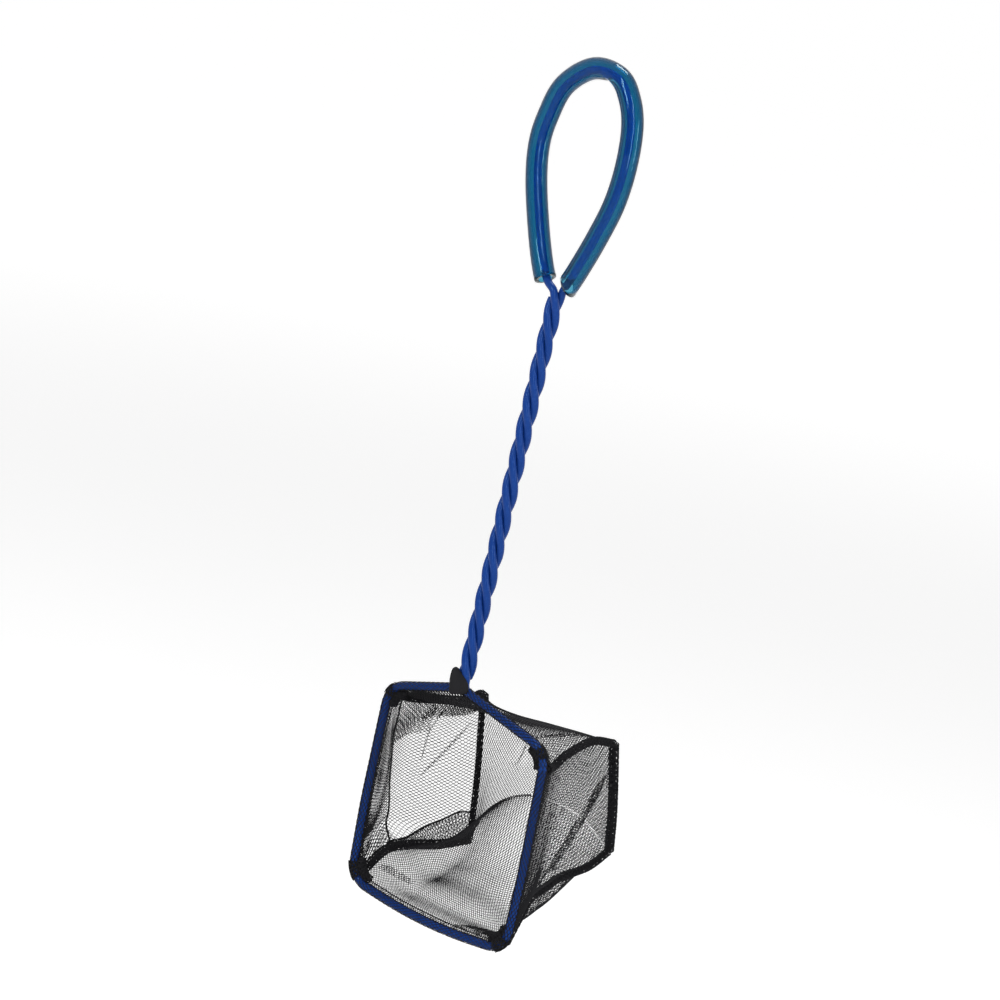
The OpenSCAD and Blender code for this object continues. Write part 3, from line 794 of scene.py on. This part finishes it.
# Hems. The net is folded round each bar of the hoop in two layers, pulled so tight that
# its threads are thinner there and the blue wire shows through, and the turned edge lies
# on the wall for the first few millimetres.
hem_radii = (1.5 * mm, 1.66 * mm)
hem_depth = 3.2 * mm
turned_lift = 0.3 * mm


def sleeve(line, radius, reference):
    """Surface round a line: u is the share of a turn and v the share of the length."""
    ahead = unit(np.gradient(line, axis=0))
    e = unit(np.cross(reference, ahead))
    f = np.cross(ahead, e)

    def surface(u, v):
        turn = 2 * np.pi * u[..., None]
        around = at_share(line, v, e) * np.cos(turn) + at_share(line, v, f) * np.sin(turn)
        return at_share(line, v) + radius * around
    return surface


def net_sleeve(line, radius, reference, width=thread_w, phase=0.0):
    """Net wrapped round a line, with a whole number of pitches in a turn."""
    turn = 2 * np.pi * radius
    pitch = turn / max(3, round(turn / net_pitch))
    return knit(sleeve(line, radius, reference), (turn, turn), run_lengths(line)[-1],
                pitch, width, phase)


def turned_edge(surface, size, side, depth):
    """The hem's turned edge: the first of a wall's depth again, a little to one side."""
    def layer(u, v):
        near = v * depth / size[1]
        return surface(u, near) + side * normals_of(surface, u, near)
    return layer


def joined(parts):
    """Several meshes of points and quads as one."""
    starts = np.cumsum([0] + [len(p) for p, q in parts])
    return (np.concatenate([p for p, q in parts]),
            np.concatenate([q + start for start, (p, q) in zip(starts, parts)]))


# The top hem parts at the stem's foot, by this number of the bar's points to each side.
foot_at = np.argmin(np.abs(top_bar[:, 0] - foot[0]))
foot_clear = 2
hem_bars = {"top_hem": [top_bar[:foot_at - foot_clear], top_bar[foot_at + foot_clear:]],
            "left_hem": [left_bar], "low_hem": [low_bar], "right_hem": [right_bar]}
hem_walls = {"top_hem": (top_wall, top_size, -turned_lift, hem_depth),
             "left_hem": (left_wall, side_size, turned_lift, hem_depth),
             "low_hem": (bottom_wall, bottom_size, turned_lift, hem_depth),
             "right_hem": (right_wall, side_size, -turned_lift, 0.45 * hem_depth)}
pulled_shares = {"top_hem": 0.62, "left_hem": 0.76, "low_hem": 0.58, "right_hem": 0.76}
for name, lines in hem_bars.items():
    wall, size, side, depth = hem_walls[name]
    pulled_w = pulled_shares[name] * thread_w
    parts = [net_sleeve(line, radius, depthwise, pulled_w, 0.5 * layer)
             for line in lines for layer, radius in enumerate(hem_radii)]
    parts.append(knit(turned_edge(wall, size, side, depth), (size[0], size[0]), depth, phase=0.4))
    points, quads = joined(parts)
    mesh_piece(name + "_net", points, [quads], yarn_material)

# Slack net. Where a wall has more net than its place needs, the net lies in a second and
# third layer on it, and the layers' folded edges and the strip's two creases are thin rolls.
slack_lift = 0.5 * mm
pleat_r = 0.27 * mm
pleat_lift = 0.3 * mm


def slack(wall, size, near, far, lift, phase):
    """Net on a wall between two lines in shares of the wall: the place is mixed from the
    lines' own, and lifted off the wall by lift times 0.3 + 0.7 sin(pi u) sin(pi v)."""
    near, far = np.array(near), np.array(far)
    cut = [run_lengths(line * np.array(size))[-1] for line in (near, far)]
    depth = np.linalg.norm((at_share(far, 0.5) - at_share(near, 0.5)) * np.array(size))

    def surface(u, v):
        u2, v2 = np.moveaxis(mix(at_share(near, u), at_share(far, u), v[..., None]), -1, 0)
        up = lift * (0.3 + 0.7 * np.sin(np.pi * u) * np.sin(np.pi * v))
        return wall(u2, v2) + up[..., None] * normals_of(wall, u2, v2)
    return knit(surface, cut, depth, phase=phase)


def pleat(wall, keys, lift=0.0, radius=pleat_r):
    """A thin roll of net along a line through points in shares of a wall."""
    u, v = through(keys).T
    line = wall(u, v) + lift * normals_of(wall, u, v)
    return net_sleeve(evened(line, wire_step), radius, (upwards + rightwards) / 2)


left_crease = [(0.02, 0.12), (0.19, 0.18), (0.35, 0.23), (0.58, 0.29), (0.81, 0.35), (0.97, 0.30)]
low_flap = [(0.97, 0.28), (0.955, 0.48), (0.865, 0.74), (0.80, 0.89), (0.81, 0.99)]
slack_pieces = {
    "left_slack_net": [
        slack(left_wall, side_size, [(0.01, 0.01), (0.99, 0.01)], left_crease, slack_lift, 0.3),
        slack(left_wall, side_size, [(0.02, 0.14), (0.04, 0.53)], [(0.34, 0.24), (0.25, 0.58)],
              slack_lift, 0.6),
        slack(left_wall, side_size, [(0.01, 0.42), (0.01, 0.99)],
              [(0.145, 0.48), (0.14, 0.60), (0.12, 0.76), (0.10, 0.99)], slack_lift, 0.1),
        slack(left_wall, side_size, [(0.01, 0.45), (0.01, 0.99)],
              [(0.12, 0.52), (0.12, 0.62), (0.11, 0.77), (0.09, 0.99)], 2 * slack_lift, 0.8),
        slack(left_wall, side_size, [(0.99, 0.25), (0.99, 0.99)], low_flap, slack_lift, 0.2),
        slack(left_wall, side_size, [(0.995, 0.30), (0.995, 0.99)], low_flap[1:],
              2 * slack_lift, 0.7),
        slack(left_wall, side_size, [(0.88, 0.01), (0.99, 0.01)], [(0.90, 0.33), (0.98, 0.36)],
              2 * slack_lift, 0.5),
        pleat(left_wall, left_crease, pleat_lift),
        pleat(left_wall, [(0.12, 0.46), (0.14, 0.475), (0.165, 0.49)], pleat_lift,
              2.4 * pleat_r),
        pleat(left_wall, low_flap, pleat_lift)],
    "bottom_slack_net": [
        slack(bottom_wall, bottom_size, [(0.05, 0.12), (0.16, 0.155), (0.27, 0.21)],
              [(0.06, 0.18), (0.16, 0.215), (0.27, 0.26)], slack_lift, 0.4),
        slack(bottom_wall, bottom_size, [(0.62, 0.03), (0.97, 0.03)],
              [(0.80, 0.14), (0.97, 0.26)], slack_lift, 0.2)],
    "right_slack_net": [
        slack(right_wall, side_size, [(0.26, 0.82), (0.46, 0.58), (0.64, 0.48), (0.84, 0.39)],
              [(0.30, 0.89), (0.52, 0.64), (0.70, 0.54), (0.87, 0.46)], slack_lift, 0.3)],
    "top_slack_net": [
        slack(top_wall, top_size, [(0.0, 0.01), (0.5, 0.01)], [(0.0, 0.13), (0.5, 0.13)],
              -slack_lift, 0.3),
        slack(top_wall, top_size, [(0.0, 0.02), (0.36, 0.02)], [(0.01, 0.6), (0.30, 0.5)],
              -slack_lift, 0.5),
        slack(top_wall, top_size, [(0.0, 0.02), (0.30, 0.02)], [(0.01, 0.5), (0.20, 0.4)],
              -2 * slack_lift, 0.1)],
    "strip_creases": [
        pleat(bottom_wall, [(0.01, 0.995), (0.15, 0.995), (0.3, 0.995), (0.46, 0.995)]),
        pleat(top_wall, [(0.01, 0.995), (0.25, 0.995), (0.5, 0.995), (0.75, 0.995),
                         (0.99, 0.995)])]}
for name, parts in slack_pieces.items():
    points, quads = joined(parts)
    mesh_piece(name, points, [quads], yarn_material)

# Hem stitching. A lockstitch of black sewing thread closes each hem, just inside its
# turned edge: the thread rises over the net and dips back into it as 1 + 1.1 cos.
stitch_len = 2.2 * mm
stitch_w = 0.42 * mm
stitch_inside = 0.5 * mm
stitch_points = 4
thread_black = material_of("black_sewing_thread", Base_Color=(0.008, 0.008, 0.009, 1),
                           Roughness=0.6, Specular_IOR_Level=0.2)[0]
stitch_parts = []
for wall, size, side, depth in hem_walls.values():
    n = np.arange(int(size[0] / stitch_len * stitch_points))[None]
    u = (n + 0.5) * stitch_len / stitch_points / size[0]
    v = (depth - stitch_inside) / size[1] + 0 * u
    lift = side * (1 + 1.1 * np.cos(2 * np.pi / stitch_points * n)) * 0.5
    normal = normals_of(wall, u, v)
    stitch_parts.append(yarn(wall(u, v) + normal * lift[..., None], normal, stitch_w,
                             stitch_w, n >= 0))
points, quads = joined(stitch_parts)
mesh_piece("hem_stitching", points, [quads], thread_black)

# Bound seams. The walls' edges are rolled together and overlocked: net round a core of
# net, and a thread wound round both, from a hoop corner down the back and forward again.
seam_r = 1.35 * mm
back_seam_r = 1.05 * mm
back_right_r = 1.65 * mm
bag_corner_r = 2.1 * mm
seam_lay = 1.7 * mm
core_sides = 10
inner_net_share = 0.84
wound_share = 1.04
lay_points = 12
wound_w = 1.8 * thread_w
wound_h = 1.6 * thread_w
binding = material_of("black_binding", Base_Color=(0.013, 0.013, 0.015, 1), Roughness=0.8,
                      Specular_IOR_Level=0.15)[0]


def rolled(line, radius, reference, core_share=0.62):
    """A roll of net: a core with bulges, two turns of net, and a thread wound over it."""
    s = run_lengths(line)
    bulge = 1 + 0.12 * np.sin(s / mm * 1.9) * np.sin(s / mm * 0.7 + 1)
    core = rings(line, core_share * radius * bulge, core_sides, reference)
    parts = [net_sleeve(line, inner_net_share * radius, reference, 1.3 * thread_w),
             net_sleeve(line, radius, reference, 1.2 * thread_w, 0.5)]
    n = np.arange(int(s[-1] / seam_lay * lay_points))[None]
    u, v = n / lay_points, np.clip(n / lay_points * seam_lay / s[-1], 0, 1)
    wound = sleeve(line, wound_share * radius, reference)(u, v)
    parts.append(yarn(wound, unit(wound - at_share(line, v)), wound_w, wound_h, n >= 0))
    quads, start, end = pipe_faces(len(core), core_sides, False)
    points, thread_quads = joined([(core.reshape(-1, 3), quads)] + parts)
    return points, thread_quads, start, end


def roll_piece(name, rolls, node):
    """Rolls of net as one piece of black binding."""
    starts = np.cumsum([0] + [len(r[0]) for r in rolls])
    quads = np.concatenate([r[1] + start for start, r in zip(starts, rolls)])
    ends = [end + start for start, r in zip(starts, rolls) for end in r[2:]]
    mesh_piece(name, np.concatenate([r[0] for r in rolls]), [quads, np.concatenate(ends)],
               binding, [node])


bag_corner = np.concatenate([seam_top_left[-8:-1], seam_back_left[:8]])
seam_rolls = {
    "seam_left": [(seam_top_left, 1.1 * seam_r), (seam_back_left, back_seam_r),
                  (seam_low_left, 1.2 * seam_r), (bag_corner, bag_corner_r)],
    "seam_right": [(seam_top_right, seam_r), (seam_back_right, back_right_r),
                   (seam_low_right, seam_r)]}
for node, rolls in seam_rolls.items():
    roll_piece(node.replace("seam_", "") + "_bound_seam",
               [rolled(evened(line, wire_step), radius, rightwards, 0.45)
                for line, radius in rolls], node)

# Seam ends. At each corner of the hoop the end of a seam lies along the inner side of the
# bend, and turns over the wire. The turn runs between two of the bend's points, which
# are counted from its middle.
end_r = 1.5 * mm
end_step = 0.5 * mm
end_inside = 2.7 * mm
end_back = 0.8 * mm
wrap_r = 2.1 * mm
wrap_ends = {1: (-4, 5), 3: (-10, 4), 5: (-7, 7), 7: (-4, 5)}
corner_rolls = []
for number, (first, last) in wrap_ends.items():
    line = evened(hoop_bends[number], end_step)
    inside = line - outward(line) * end_inside + depthwise * end_back
    corner_rolls.append(rolled(inside, end_r, depthwise))
    middle = len(line) // 2
    corner_rolls.append(rolled(line[middle + first:middle + last], wrap_r, depthwise))
roll_piece("corner_lumps", corner_rolls, "seam_ends")

# Hem gather. The bunched end of the top hem climbs beside the stem's foot as a peak with
# pleats, and the hem's cloth goes on below the foot, from one side to the other.
gather_sides = 20
below_half = 5
below_back = 0.6 * mm
gather_line = through([foot + np.array(p) * mm for p in [
    (0.9, -3.0, -1.0), (0.6, -3.2, 1.2), (-0.7, -3.2, 3.4), (-1.9, -3.1, 5.4),
    (-2.4, -3.0, 7.2)]])
gather_shares = [0, 0.08, 0.3, 0.52, 0.72, 0.93, 1]
gather_radii = np.array([3.2, 3.5, 3.2, 2.6, 1.8, 1.1, 0.3]) * mm
gather_r = np.interp(np.linspace(0, 1, len(gather_line)), gather_shares, gather_radii)

# The peak's pleats: its radius varies round it by 0.13 sin 3a + 0.06 sin (7a + 1).
gather_turn = np.linspace(0, 2 * np.pi, gather_sides, endpoint=False)
pleats = 1 + 0.13 * np.sin(3 * gather_turn)[None] + 0.06 * np.sin(7 * gather_turn + 1)[None]
gather = rings(gather_line, gather_r, gather_sides, depthwise)
gather = gather_line[:, None] + (gather - gather_line[:, None]) * pleats[..., None]
below_foot = top_bar[foot_at - below_half:foot_at + below_half + 1] + depthwise * below_back
quads, *ends = pipe_faces(len(gather), gather_sides, False)
roll_piece("hem_gather_cloth", [rolled(below_foot, end_r, depthwise)], "hem_gather")
mesh_piece("hem_gather_peak", gather.reshape(-1, 3), [quads, *ends], binding)
